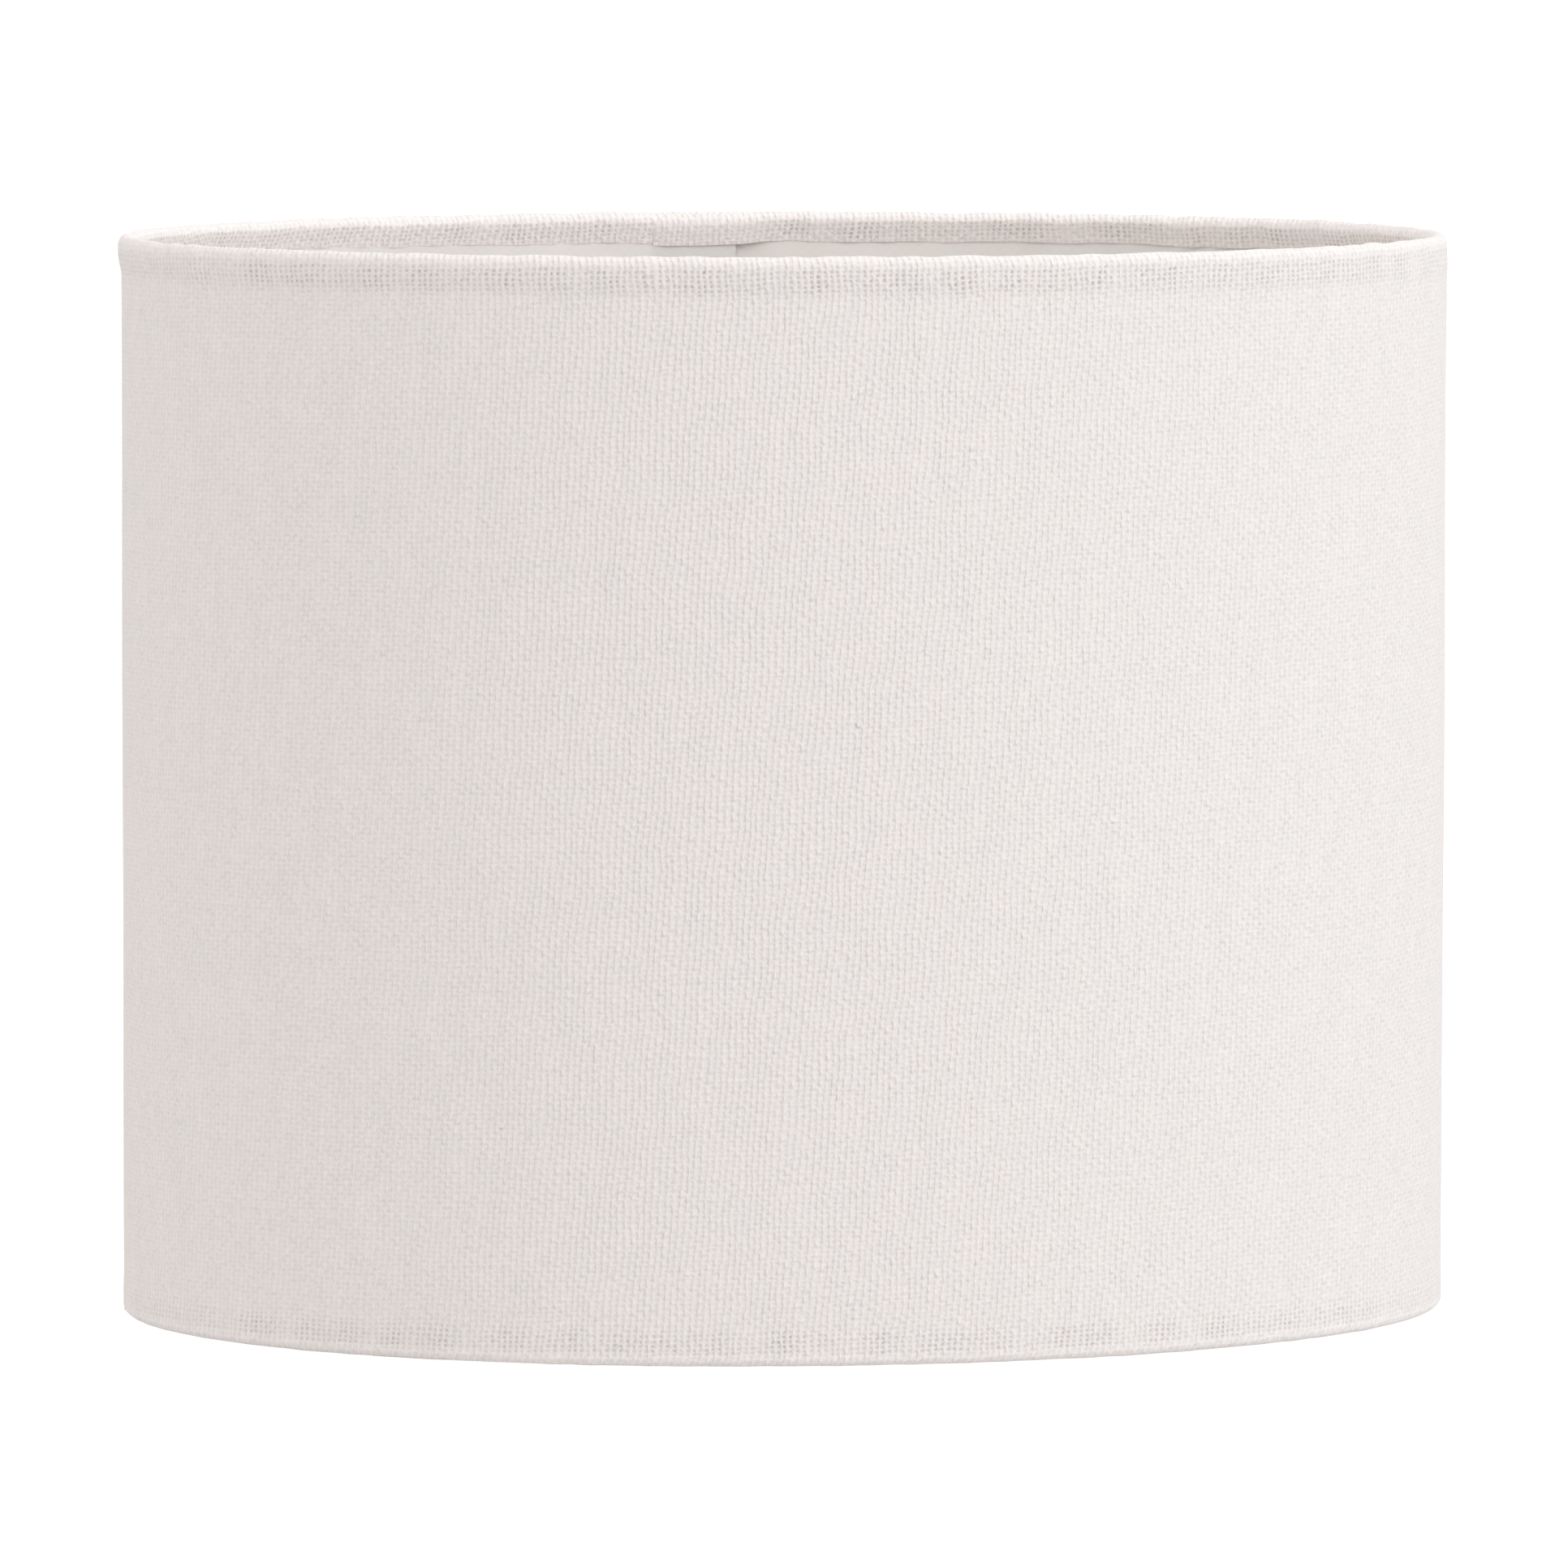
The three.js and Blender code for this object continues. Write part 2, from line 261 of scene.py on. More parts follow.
def hem(name, roll_inset, upper, seed):
    """One rolled rim of the cloth."""
    section = hem_section(roll_inset)
    length = np.concatenate([[0], np.cumsum(np.linalg.norm(np.diff(section, axis=0), axis=1))])
    direction = np.gradient(section, length, axis=0)
    normal = np.stack([direction[:, 1], -direction[:, 0]], -1)  # (inset, depth) parts of the outside normal
    s, rise, _ = strip_columns(end_fold=False)
    point, outward = along(s)
    on_rim = smooth((length - 2.0) / 4.0)
    roll_start = length[np.argmin(np.abs(section[:, 1] - 2.0))]
    inside = smooth((length - roll_start - 3.0) / 3.0)
    if upper:
        lift = 0.07 * wobble(s, (4, 60), seed) - 0.25 * smooth(rise)
    else:  # the shade stands on this rim, so nothing hangs below the wire's own cloth
        lift = 0.02 * wobble(s, (4, 30), seed) - 0.06 - 0.22 * smooth(rise)
    bulge = (0.06 if upper else 0.025) * wobble(s, (20, 120), seed + 1)
    hang = 0.10 * wobble(s, (3, 26), seed + 2) + 0.20 * rise
    sway = 0.03 * wobble(s, (15, 90), seed + 3)
    pressed = smooth((length - 4.6) / 2.2)
    ending = smooth((s - STRIP + 2.0) / 2.0)[:, None] * pressed  # the outer end is pressed thin
    stand = rise[:, None] * (WALL_STEP * (1 - pressed) + ROLL_STEP * pressed) - 0.15 * ending
    stand = stand + bulge[:, None] * on_rim
    inset = section[:, 0] + stand * normal[:, 0] + sway[:, None] * inside
    depth = section[:, 1] + stand * normal[:, 1] - lift[:, None] * on_rim + hang[:, None] * inside
    grid = standing(point, outward, inset, TOP - depth if upper else depth)
    if upper:
        grid[..., 0] += UPPER_SHIFT * on_rim
    else:
        grid, length, ending = grid[:, ::-1], -length[::-1], ending[:, ::-1]
    # Threads lean a little as they go over the roll.
    lean = 0.24 + 0.05 * wobble(s, (2, 9), seed + 4)
    past_roll = np.clip(np.abs(length) - roll_start, 0, 4.6)
    start = TOP - HEM_JOIN if upper else HEM_JOIN
    u = s[:, None] + lean[:, None] * past_roll
    v = np.broadcast_to(start + length, u.shape)
    # The cloth has no liner behind it between the roll and the liner's edge; its holes are painted dark there,
    # as the shade seen through them.
    reach = np.abs(length)
    outside = smooth((reach - 1.0) / 3.0) * (1 - smooth((reach - roll_start + 0.4) / 0.6))
    within = smooth((reach - roll_start - 4.2) / 1.0) * (1 - smooth((reach - roll_start - 8.0) / 0.8))
    across = np.abs(point[:, 0]) / np.abs(point[:, 0]).max()
    tight = smooth((across - 0.78) / 0.18)  # the threads close up at the oval's ends
    bare = np.maximum((0.52 if upper else 0.4) * outside * (1 - 0.6 * tight[:, None]), 0.45 * within)
    # Painted light: the cloth is coloured lighter over the top of the wire roll, and more on the inside flap,
    # for light falling on the roll and shining through the unbacked cloth.
    painted_roll_light = smooth((reach - roll_start + 0.8) / 1.2) * (1 + 2.4 * smooth((reach - roll_start - 2.6) / 2.0))
    cut_edge = smooth((reach - reach.max() + 0.8) / 0.8)  # pressed thin where it is stuck down
    doubled = 1 - 0.85 * smooth(rise)
    openness = bare * doubled[:, None] * (0.8 + 0.25 * wobble(s, (20, 80), seed + 5)[:, None])
    kept = None
    if not upper:
        middle_s = (s[:-1] + s[1:]) / 2
        near_arm = np.min(np.abs(middle_s[:, None] - np.array(arm_distances())), axis=1) < 1.75
        in_flap = (reach[:-1] + reach[1:]) / 2 > roll_start + 4.3
        kept = ~(near_arm[:, None] & in_flap[None])
    uv = np.stack([u, v], -1) * MM
    values = {"open": np.clip(openness, 0, 1), "wire": np.broadcast_to(painted_roll_light[None], u.shape)}
    thickness = CLOTH * (1 - 0.6 * ending) * (1 - 0.55 * cut_edge)
    return thick_sheet(name, grid, thickness, uv, values, kept)


def wall_cloth():
    """The flat part of the cloth, bonded to the liner between the two hems."""
    s, rise, drop = strip_columns()
    z = np.linspace(HEM_JOIN, TOP - HEM_JOIN, 41)
    point, outward = along(s)
    ease = smooth((z - HEM_JOIN) / 12) * smooth((TOP - HEM_JOIN - z) / 12)
    up = (z - HEM_JOIN) / (TOP - 2 * HEM_JOIN)
    waver = sum(0.035 * wobble(s, (2, 14), 40 + k)[:, None] * np.sin(math.pi * k * up) for k in range(1, 5))
    stand = WALL_STEP * rise[:, None] - drop[:, None] + waver * ease * (1 - rise[:, None])
    grid = standing(point, outward, WALL_INSET + CLOTH / 2 - stand, z)
    u = np.broadcast_to(s[:, None], grid.shape[:2])
    uv = np.stack([u, grid[..., 2]], -1) * MM
    flat = np.zeros(grid.shape[:2])
    return thick_sheet("cover_wall", grid, CLOTH, uv, {"open": flat, "wire": flat})


def liner():
    """The stiff panel inside the cloth, lapped like it."""
    s, rise, _ = strip_columns(end_fold=False)
    low, high = PANEL_EDGE, TOP - PANEL_EDGE
    z = np.concatenate([[low], np.linspace(low + 0.3, high - 0.3, 24), [high]])
    point, outward = along(s)
    waver = 0.05 * wobble(s, (3, 16), 71)[:, None] * np.sin(math.pi * (z - z[0]) / (z[-1] - z[0]))
    middle = WALL_INSET + CLOTH + GLUE + PANEL / 2
    inset = middle - WALL_STEP * rise[:, None] - waver * (1 - rise[:, None])
    grid = standing(point, outward, inset + 0.05 * rise[:, None], z)
    u = np.broadcast_to(s[:, None], grid.shape[:2])
    doubled = smooth((s - (ROUND - 1.5)) / 3) + 1 - smooth((s - LAP + 0.5) / 2)
    values = {"lap": np.broadcast_to(doubled[:, None], u.shape)}
    return thick_sheet("liner_sheet", grid, PANEL, np.stack([u, grid[..., 2]], -1) * MM, values)


def seam_tape():
    """The adhesive strip between the two lapped ends."""
    s = np.linspace(2, LAP - 2, 17)
    z = np.linspace(PANEL_EDGE + 3, TOP - PANEL_EDGE - 3, 30)
    point, outward = along(s)
    between_layers = WALL_INSET - 0.15
    grid = standing(point, outward, np.full((len(s), len(z)), between_layers), z)
    uv = np.stack(np.broadcast_arrays(s[:, None], z[None]), -1) * MM
    return thick_sheet("seam_tape_strip", grid, TAPE, uv, {})


# ---------------------------------------------------------------- the wire frame
def rim_wire(name, inset, height, shift=0.0):
    angle = np.linspace(0, 2 * math.pi, 361)[:-1]
    point, outward = oval(angle)
    sides = 16
    turn = np.linspace(0, 2 * math.pi, sides, endpoint=False)
    out = -inset + WIRE_RADIUS * np.cos(turn)
    points = np.empty((len(angle), sides, 3))
    points[..., :2] = point[:, None] + outward[:, None] * out[None, :, None]
    points[..., 0] += shift
    points[..., 2] = height + WIRE_RADIUS * np.sin(turn)
    index = np.arange(len(angle) * sides).reshape(len(angle), sides)
    ahead, above = np.roll(index, -1, 0), np.roll(index, -1, 1)
    faces = np.stack([index, ahead, np.roll(ahead, -1, 1), above], -1).reshape(-1, 4)
    return build(name, points.reshape(-1, 3), faces.tolist())


def spider_arm(name, node, direction):
    """A wire from the lower rim in to the collar, thickened by a weld where it meets the rim."""
    low, high = (np.array(corner / MM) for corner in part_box(node))
    radius = ARM_RADIUS
    reach = abs(np.array(direction) @ (high if sum(direction) > 0 else low)[:2])
    near = abs(np.array(direction) @ (low if sum(direction) > 0 else high)[:2])
    start = np.array([reach, low[2] + radius])
    end = np.array([near, high[2] - radius])
    level = 6.0
    knots = np.array([
        start, start + [-level, radius / 2], end + [2 * level, -radius], end + [level, 0], end,
    ])
    path = catmull(knots, 14)
    along_arm = np.concatenate([[0], np.cumsum(np.linalg.norm(np.diff(path, axis=0), axis=1))])
    from_end = np.minimum(along_arm, along_arm[-1] - along_arm)
    radii = radius + 0.45 * np.exp(-((from_end / 1.5) ** 2)) * (1 + 0.15 * np.sin(9 * from_end))
    radii = np.where(along_arm > along_arm[-1] / 2, radius, radii)
    across = np.array(direction, float)
    points = np.stack([path[:, 0] * across[0], path[:, 0] * across[1], path[:, 1]], -1)
    return tube(name, points, radii)


def catmull(knots, steps):
    """A smooth curve through 2-D knots, with so many steps between each pair."""
    padded = np.concatenate([[2 * knots[0] - knots[1]], knots, [2 * knots[-1] - knots[-2]]])
    points = []
    for a, b, c, d in zip(padded, padded[1:], padded[2:], padded[3:], strict=False):
        for t in np.linspace(0, 1, steps, endpoint=False):
            points.append(0.5 * (2 * b + (c - a) * t + (2 * a - 5 * b + 4 * c - d) * t**2
                                 + (3 * b - a - 3 * c + d) * t**3))
    return np.array([*points, knots[-1]])


def turned(name, outline, segments=96, bevel=0.25):
    """A ring turned from a closed outline of (radius, height), with its edges bevelled."""
    outline = np.asarray(outline, float)
    turn = np.linspace(0, 2 * math.pi, segments, endpoint=False)
    points = np.stack([
        np.cos(turn)[:, None] * outline[:, 0], np.sin(turn)[:, None] * outline[:, 0],
        np.broadcast_to(outline[:, 1], (segments, len(outline))),
    ], -1)
    index = np.arange(segments * len(outline)).reshape(segments, len(outline))
    ahead = np.roll(index, -1, 0)
    faces = np.stack([index, ahead, np.roll(ahead, -1, 1), np.roll(index, -1, 1)], -1).reshape(-1, 4)
    piece = build(name, points.reshape(-1, 3), faces.tolist())
    rounding = piece.modifiers.new("edges", "BEVEL")
    rounding.width = bevel * MM
    rounding.segments = 3
    rounding.limit_method = "ANGLE"
    rounding.harden_normals = True
    return piece


def collar():
    low, high = (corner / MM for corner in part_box("fitter_collar"))
    bore, outside = COLLAR_BORE, high.x
    return turned("fitter_collar_ring", [(bore, low.z), (outside, low.z), (outside, high.z), (bore, high.z)])


def reducer():
    low, high = (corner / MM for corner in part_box("reducer_ring"))
    bore, neck, wall = REDUCER_BORE, REDUCER_NECK, REDUCER_WALL
    return turned("reducer_dish", [
        (bore, low.z), (neck, low.z), (neck, high.z - wall), (high.x, high.z - wall), (high.x, high.z),
        (neck - wall, high.z), (neck - wall, low.z + wall), (bore, low.z + wall),
    ])


# ---------------------------------------------------------------- materials
class Material:
    """A node material on one Principled shader, with short ways to add nodes."""

    def __init__(self, name, roughness, **sockets):
        self.material = bpy.data.materials.new(name)
        self.material.use_nodes = True
        self.tree = self.material.node_tree
        self.shader = self.tree.nodes["Principled BSDF"]
        self.shader.inputs["Roughness"].default_value = roughness
        for key, value in sockets.items():
            self.shader.inputs[key.replace("_", " ")].default_value = value

    def node(self, kind, inputs=(), **settings):
        made = self.tree.nodes.new("ShaderNode" + kind)
        for key, value in settings.items():
            setattr(made, key, value)
        for key, value in dict(inputs).items():
            self.feed(made.inputs[key], value)
        return made

    def feed(self, socket, value):
        if isinstance(value, bpy.types.NodeSocket):
            self.tree.links.new(value, socket)
        else:
            socket.default_value = value

    def math(self, operation, *values):
        return self.node("Math", enumerate(values), operation=operation).outputs[0]

    def value(self, attribute):
        return self.node("Attribute", attribute_name=attribute).outputs["Fac"]

    def noise(self, vector, scale, detail=2.0, roughness=0.5):
        made = self.node("TexNoise", noise_dimensions="3D")
        self.feed(made.inputs["Vector"], vector)
        for key, number in (("Scale", scale), ("Detail", detail), ("Roughness", roughness)):
            made.inputs[key].default_value = number
        return made.outputs["Fac"]

    def scaled(self, vector, scale, shift=(0, 0, 0)):
        made = self.node("Mapping", {"Vector": vector, "Scale": scale, "Location": shift})
        return made.outputs[0]

    def ramp(self, value, low, high, to_low=0.0, to_high=1.0, kind="SMOOTHSTEP"):
        inputs = {"Value": value, "From Min": low, "From Max": high, "To Min": to_low, "To Max": to_high}
        return self.node("MapRange", inputs, interpolation_type=kind).outputs[0]

    def blend(self, share, first, second, kind="MIX"):
        made = self.node("Mix", data_type="RGBA", blend_type=kind)
        for socket, value in ((made.inputs[0], share), (made.inputs[6], first), (made.inputs[7], second)):
            self.feed(socket, value)
        return made.outputs[2]

    def bump(self, height, distance):
        made = self.node("Bump", {"Height": height, "Distance": distance, "Strength": 1.0})
        self.tree.links.new(made.outputs["Normal"], self.shader.inputs["Normal"])

    def colour(self, value):
        self.feed(self.shader.inputs["Base Color"], value)


def grey(level, warm=0.0):
    return (level * (1 + warm), level, level * (1 - warm), 1)


def woven_linen():
    """Off-white plain weave: warp and weft beads, uneven yarns, slubs, faint pink and grey-green mottling,
    painted shade between the yarns, painted highlights on beads and over the rims, and holes painted dark where
    the cloth has no liner behind it."""
    m = Material("woven_linen", 0.92, Sheen_Weight=0.15, Sheen_Roughness=0.6, Specular_IOR_Level=0.2)
    uv = m.node("UVMap", uv_map="Cloth").outputs[0]
    parts = m.node("SeparateXYZ", {0: uv})
    u, v = parts.outputs[0], parts.outputs[1]
    # Threads wander a little off their lines, in long bows and in short kinks.
    bow_u = m.noise(m.scaled(uv, (110, 60, 1)), 1.0, 3.0, 0.55)
    bow_v = m.noise(m.scaled(uv, (60, 110, 1), (3, 7, 0)), 1.0, 3.0, 0.55)
    kink_u = m.noise(m.scaled(uv, (620, 480, 1), (17, 3, 0)), 1.0, 1.0)
    kink_v = m.noise(m.scaled(uv, (760, 500, 1), (4, 23, 0)), 1.0, 1.0)
    drift_u = m.math("MULTIPLY_ADD", kink_u, 0.32, m.math("MULTIPLY", bow_u, 1.9))
    drift_v = m.math("MULTIPLY_ADD", kink_v, 0.55, m.math("MULTIPLY", bow_v, 1.9))
    drift_u = m.math("MULTIPLY_ADD", v, -WARP_LEAN / (WARP_PITCH * MM), drift_u)
    drift_v = m.math("MULTIPLY_ADD", u, -WEFT_LEAN / (WEFT_PITCH * MM), drift_v)
    a = m.math("MULTIPLY_ADD", u, 1 / (WARP_PITCH * MM), drift_u)
    b = m.math("MULTIPLY_ADD", v, 1 / (WEFT_PITCH * MM), drift_v)
    wave_a = m.math("SINE", m.math("MULTIPLY", a, math.pi))
    wave_b = m.math("SINE", m.math("MULTIPLY", b, math.pi))
    round_a, round_b = m.math("ABSOLUTE", wave_a), m.math("MULTIPLY", wave_b, wave_b)
    # Each thread has its own thickness, which also varies along it.
    warp_number = m.math("MULTIPLY", m.math("FLOOR", a), 7.31)
    warp_id = m.node("CombineXYZ", {0: warp_number, 1: m.math("MULTIPLY", v, 190.0)})
    weft_number = m.math("MULTIPLY", m.math("FLOOR", b), 5.17)
    weft_id = m.node("CombineXYZ", {1: weft_number, 0: m.math("MULTIPLY", u, 150.0)})
    warp_fat = m.noise(warp_id.outputs[0], 1.0, 2.0, 0.6)
    weft_fat = m.noise(weft_id.outputs[0], 1.0, 2.0, 0.6)
    crossing = m.math("MULTIPLY", wave_a, wave_b)
    warp_up = m.math("MULTIPLY_ADD", crossing, 0.23, 0.83)
    weft_up = m.math("MULTIPLY_ADD", crossing, -0.16, 0.47)
    warp = m.math("MULTIPLY", m.math("POWER", round_a, 1.6),
                  m.math("MULTIPLY", warp_up, m.ramp(warp_fat, 0.25, 0.75, 0.70, 1.25, "LINEAR")))
    weft = m.math("MULTIPLY", round_b,
                  m.math("MULTIPLY", weft_up, m.ramp(weft_fat, 0.25, 0.75, 0.60, 1.30, "LINEAR")))
    warp_seen = m.math("MULTIPLY", m.math("POWER", round_a, 0.8), m.math("MULTIPLY_ADD", crossing, 0.24, 0.74))
    weft_seen = m.math("MULTIPLY", m.math("POWER", round_b, 0.9), m.math("MULTIPLY_ADD", crossing, -0.20, 0.54))
    yarns = m.math("SMOOTH_MAX", warp_seen, weft_seen, 0.20)
    fibre = m.noise(m.scaled(uv, (6500, 2600, 1)), 1.0, 2.0, 0.6)
    warp_eased, weft_eased = m.math("MULTIPLY_ADD", crossing, -0.05, warp), m.math("MULTIPLY", weft, 0.62)
    soft = m.math("SMOOTH_MAX", warp_eased, weft_eased, 0.40)
    relief = m.math("MULTIPLY_ADD", fibre, 0.18, soft)
    # Slubs: rare thick stretches of yarn, small nubs, and single beads that catch the light. All stand up in
    # the relief; in the colour the slubs are lighter yarn and the beads a painted highlight.
    slub_warp = m.ramp(m.noise(m.scaled(uv, (900, 110, 1), (11, 5, 0)), 1.0, 1.0), 0.65, 0.80)
    slub_weft = m.ramp(m.noise(m.scaled(uv, (140, 800, 1), (2, 19, 0)), 1.0, 1.0), 0.66, 0.84, 0.0, 0.5)
    cells = m.node("TexVoronoi", {"Vector": m.scaled(uv, (1, 1, 1)), "Scale": 62.0}, feature="F1")
    rare = m.math("GREATER_THAN", m.node("SeparateColor", {0: cells.outputs["Color"]}).outputs[0], 0.70)
    nub = m.math("MULTIPLY", m.ramp(cells.outputs["Distance"], 0.0, 0.05, 1.0, 0.0), rare)
    bead_id = m.node("CombineXYZ", {0: m.math("FLOOR", a), 1: m.math("FLOOR", b)})
    luck = m.node("TexWhiteNoise", {0: bead_id.outputs[0]}, noise_dimensions="2D").outputs["Value"]
    bead = m.math("MULTIPLY", m.math("MAXIMUM", crossing, 0.0), m.ramp(luck, 0.15, 1.0, 0.0, 1.0))
    slubs = m.math("MULTIPLY_ADD", nub, 1.8, m.math("MULTIPLY", m.math("ADD", slub_warp, slub_weft), 0.22))
    lumps = m.math("MULTIPLY_ADD", bead, 0.28, slubs)
    patch = m.noise(m.scaled(uv, (850, 850, 1), (9, 1, 0)), 1.0, 1.0)
    relief = m.math("MULTIPLY_ADD", patch, 1.1, m.math("ADD", relief, lumps))
    # Holes between the threads, painted dark as the shade seen through them: faintly on the wall, more where
    # the cloth has no liner behind it.
    gap = m.math("MULTIPLY", m.math("SUBTRACT", 1.0, m.math("POWER", round_a, 0.9)),
                 m.math("SUBTRACT", 1.0, m.math("POWER", round_b, 2.4)))
    hole_id = m.node("CombineXYZ", {0: m.math("ROUND", a), 1: m.math("ROUND", b)})
    chance = m.node("TexWhiteNoise", {0: hole_id.outputs[0]}, noise_dimensions="2D").outputs["Value"]
    cluster = m.noise(m.scaled(uv, (150, 260, 1), (8, 3, 0)), 1.0, 1.0)
    how_open = m.math("MULTIPLY", m.ramp(chance, 0.0, 1.0, 0.50, 1.0), m.ramp(cluster, 0.30, 0.62, 0.80, 1.0))
    hole = m.math("MULTIPLY", m.ramp(gap, 0.03, 0.82), how_open)
    openness = m.value("open")
    hole_shade = m.math("MULTIPLY", hole, m.math("MULTIPLY_ADD", openness, 0.64, 0.055))
    # Colour.
    mottle = m.noise(m.scaled(uv, (210, 120, 1), (5, 2, 0)), 1.0, 2.0, 0.6)
    pink = m.math("MULTIPLY_ADD", yarns, -0.22, m.math("ADD", mottle, 0.15))
    base = m.blend(m.ramp(pink, 0.36, 0.68), (0.8145, 0.7735, 0.7515, 1), (0.8205, 0.7685, 0.7455, 1))
    # Painted shade: yarn tops are coloured lighter and the gaps between them darker.
    shade = m.ramp(yarns, 0.25, 1.05, 0.963, 1.019, "LINEAR")
    streak = m.math("MULTIPLY_ADD", warp_fat, 0.075, m.math("MULTIPLY_ADD", weft_fat, 0.045, 0.9375))
    # Slubs and beads are coloured lighter: the slubs as lighter yarn, the beads as a painted highlight.
    level = m.math("MULTIPLY", m.math("MULTIPLY", shade, streak), m.math("MULTIPLY_ADD", lumps, 0.08, 0.989))
    uneven = m.math("MULTIPLY_ADD", patch, 0.08, m.math("MULTIPLY_ADD", mottle, 0.05, 0.948))
    level = m.math("MULTIPLY", level, uneven)
    level = m.math("MULTIPLY", level, m.math("SUBTRACT", 1.0, hole_shade))
    # Painted light and shade: lighter over the wire roll and on the inside flap, a little darker where the
    # cloth is unbacked and open.
    painted_rim_light_and_shade = m.math("MULTIPLY_ADD", m.value("wire"), 0.05, m.math("MULTIPLY_ADD", openness, -0.02, 1.0))
    level = m.math("MULTIPLY", level, painted_rim_light_and_shade)
    ruddy = m.math("MULTIPLY_ADD", hole_shade, 0.07, 1.0)  # light comes warmer out of the holes
    spread = m.node("CombineColor", {0: m.math("MULTIPLY", level, ruddy), 1: level, 2: level}).outputs[0]
    m.colour(m.blend(1.0, base, spread, "MULTIPLY"))
    m.bump(relief, RELIEF * MM)
    return m.material


def satin_panel():
    """Smooth white laminating sheet, with the weave pressed faintly through it."""
    m = Material("satin_panel", 0.42, Specular_IOR_Level=0.4)
    uv = m.node("UVMap", uv_map="Cloth").outputs[0]
    parts = m.node("SeparateXYZ", {0: uv})
    wave_a = m.math("SINE", m.math("MULTIPLY", parts.outputs[0], math.pi / (WARP_PITCH * MM)))
    wave_b = m.math("SINE", m.math("MULTIPLY", parts.outputs[1], math.pi / (WEFT_PITCH * MM)))
    weave = m.math("MULTIPLY", wave_a, wave_b)
    haze = m.noise(m.scaled(uv, (40, 18, 1)), 1.0, 3.0, 0.55)
    grain = m.noise(m.scaled(uv, (2200, 2200, 1)), 1.0, 2.0, 0.5)
    base = m.blend(m.ramp(haze, 0.35, 0.65), (0.78, 0.743, 0.712, 1), (0.81, 0.778, 0.747, 1))
    lap_shade = m.math("MULTIPLY", m.value("lap"), 0.10)  # painted shade: less light comes through where it is doubled
    level = m.math("SUBTRACT", m.math("MULTIPLY_ADD", weave, 0.012, 1.0), lap_shade)
    spread = m.node("CombineColor", {0: level, 1: level, 2: level}).outputs[0]
    m.colour(m.blend(1.0, base, spread, "MULTIPLY"))
    m.feed(m.shader.inputs["Roughness"], m.ramp(haze, 0.3, 0.7, 0.36, 0.48))
    m.bump(m.math("ADD", m.math("MULTIPLY", weave, 0.3), m.math("MULTIPLY", grain, 0.5)), 0.012 * MM)
    return m.material


def coated(name, level, roughness, grain_scale, depth):
    """White coating on wire, or moulded plastic: slight orange peel and uneven gloss."""
    m = Material(name, roughness, Specular_IOR_Level=0.5)
    place = m.node("TexCoord").outputs["Object"]
    peel = m.noise(place, grain_scale, 3.0, 0.5)
    blotch = m.noise(place, grain_scale / 12, 3.0, 0.6)
    m.colour(m.blend(m.ramp(blotch, 0.3, 0.7), grey(level * 0.95, 0.012), grey(level, 0.004)))
    m.feed(m.shader.inputs["Roughness"], m.ramp(blotch, 0.3, 0.7, roughness - 0.06, roughness + 0.08))
    m.bump(peel, depth * MM)
    return m.material


def plain_floor():
    m = Material("studio_floor", 0.9, Specular_IOR_Level=0.1, Emission_Color=(1, 0.98, 0.976, 1))
    m.colour((0.16, 0.16, 0.16, 1))
    seen = m.node("LightPath").outputs["Is Camera Ray"]
    m.feed(m.shader.inputs["Emission Strength"], m.math("MULTIPLY_ADD", seen, 0.36, 0.60))
    return m.material


# ---------------------------------------------------------------- put the shade together
def place(piece, material, body, slot, *nodes):
    piece.data.materials.clear()
    piece.data.materials.append(material)
    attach(piece, body)
    if nodes:
        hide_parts(*nodes)
    return piece


linen = woven_linen()
wire_coat = coated("coated_wire", 0.84, 0.38, 900, 0.02)
plastic = coated("moulded_plastic", 0.82, 0.5, 2600, 0.008)
tape_film = coated("tape_film", 0.78, 0.45, 700, 0.01)

wall = place(wall_cloth(), linen, "shade", "cover_fabric", "fabric_cover")
top_hem = place(hem("cover_top_hem", UPPER_ROLL, True, 11), linen, "shade", "cover_fabric", "fabric_cover")
low_hem = place(hem("cover_lower_hem", LOWER_ROLL, False, 61), linen, "shade", "cover_fabric", "fabric_cover")
sheet = place(liner(), satin_panel(), "shade", "liner_plastic", "liner_panel")
place(seam_tape(), tape_film, "shade", "seam_tape", "seam_tape")
upper_wire = rim_wire("top_ring_wire", UPPER_ROLL, TOP - ROLL_RADIUS, UPPER_SHIFT)
place(upper_wire, wire_coat, "shade", "coated_wire", "top_ring")
place(rim_wire("bottom_ring_wire", LOWER_ROLL, ROLL_RADIUS), wire_coat, "shade", "coated_wire", "bottom_ring")
for side, direction in (("right", (1, 0)), ("back", (0, 1)), ("left", (-1, 0)), ("front", (0, -1))):
    arm = spider_arm(f"spider_arm_{side}_wire", f"spider_arm_{side}", direction)
    place(arm, wire_coat, "shade", "coated_wire", f"spider_arm_{side}")
place(collar(), wire_coat, "shade", "coated_wire", "fitter_collar")
place(reducer(), plastic, "reducer", "reducer_plastic", "reducer_ring")


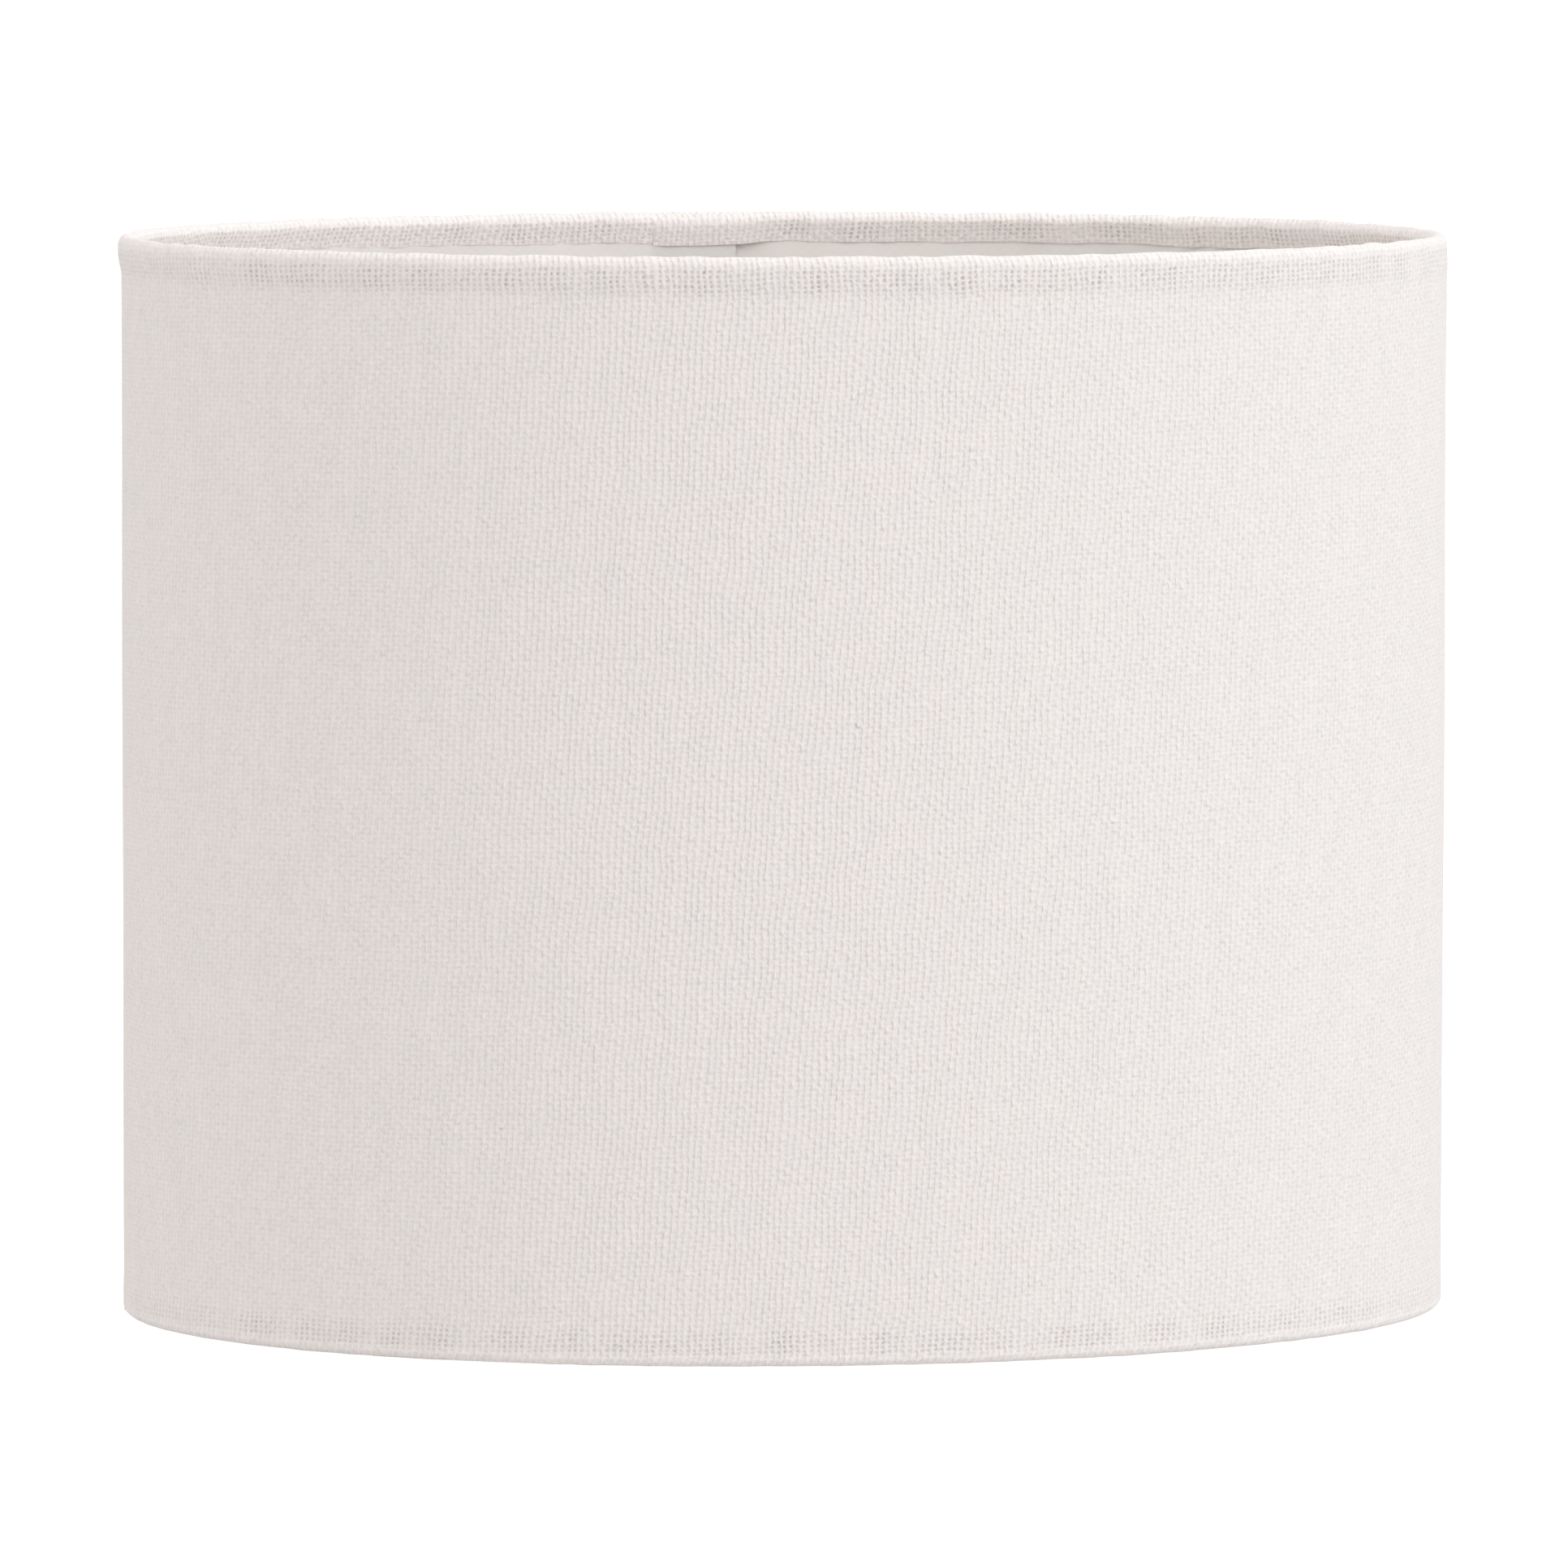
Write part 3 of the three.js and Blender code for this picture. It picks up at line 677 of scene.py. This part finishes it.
# ---------------------------------------------------------------- camera, lights and floor
def aim(position, target, roll=0.0):
    """World matrix of a camera or lamp at a position, looking at a target."""
    forward = (Vector(target) - Vector(position)).normalized()
    right = forward.cross(Vector((0, 0, 1))).normalized()
    up = right.cross(forward)
    side = right * math.cos(roll) + up * math.sin(roll)
    rise = up * math.cos(roll) - right * math.sin(roll)
    turn = Matrix((side, rise, -forward)).transposed().to_4x4()
    return Matrix.Translation(position) @ turn


def camera():
    """Long lens, a little above the rim and turned a little off the shade's short axis."""
    turn, distance, height, pitch, roll = 0.12, 2.452, 0.3233, 0.09138, 0.002
    position = Vector((-distance * math.sin(turn), -distance * math.cos(turn), height))
    target = position + Vector((math.sin(turn), math.cos(turn), -math.tan(pitch)))
    lens = bpy.data.cameras.new("camera")
    lens.lens = 301.1
    lens.shift_x = -0.0008
    lens.sensor_width = 36
    lens.clip_end = 100
    made = bpy.data.objects.new("camera", lens)
    made.matrix_world = aim(position, target, roll)
    bpy.context.collection.objects.link(made)
    bpy.context.scene.camera = made


def softbox(name, position, target, size, watts, colour=(1, 1, 1)):
    lamp = bpy.data.lights.new(name, "AREA")
    lamp.shape = "RECTANGLE"
    lamp.size, lamp.size_y = size
    lamp.energy = watts
    lamp.color = colour
    made = bpy.data.objects.new(name, lamp)
    made.matrix_world = aim(position, target)
    bpy.context.collection.objects.link(made)


def studio():
    middle = (0, 0, TOP * MM / 2)
    softbox("key_right", (1.78, -1.2, 1.3), middle, (1.0, 1.0), 16.0, (0.90, 1.0, 1.055))
    world = bpy.data.worlds.new("studio")
    world.use_nodes = True
    world.node_tree.nodes["Background"].inputs["Color"].default_value = (1, 0.990, 0.987, 1)
    world.node_tree.nodes["Background"].inputs["Strength"].default_value = 1.06
    bpy.context.scene.world = world
    bpy.context.scene.view_settings.view_transform = "Standard"
    half = 30.0
    corners = [(-half, -half, 0), (half, -half, 0), (half, half, 0), (-half, half, 0)]
    floor = build("floor", np.array(corners) / MM, [[0, 1, 2, 3]])
    floor.data.materials.append(plain_floor())


camera()
studio()
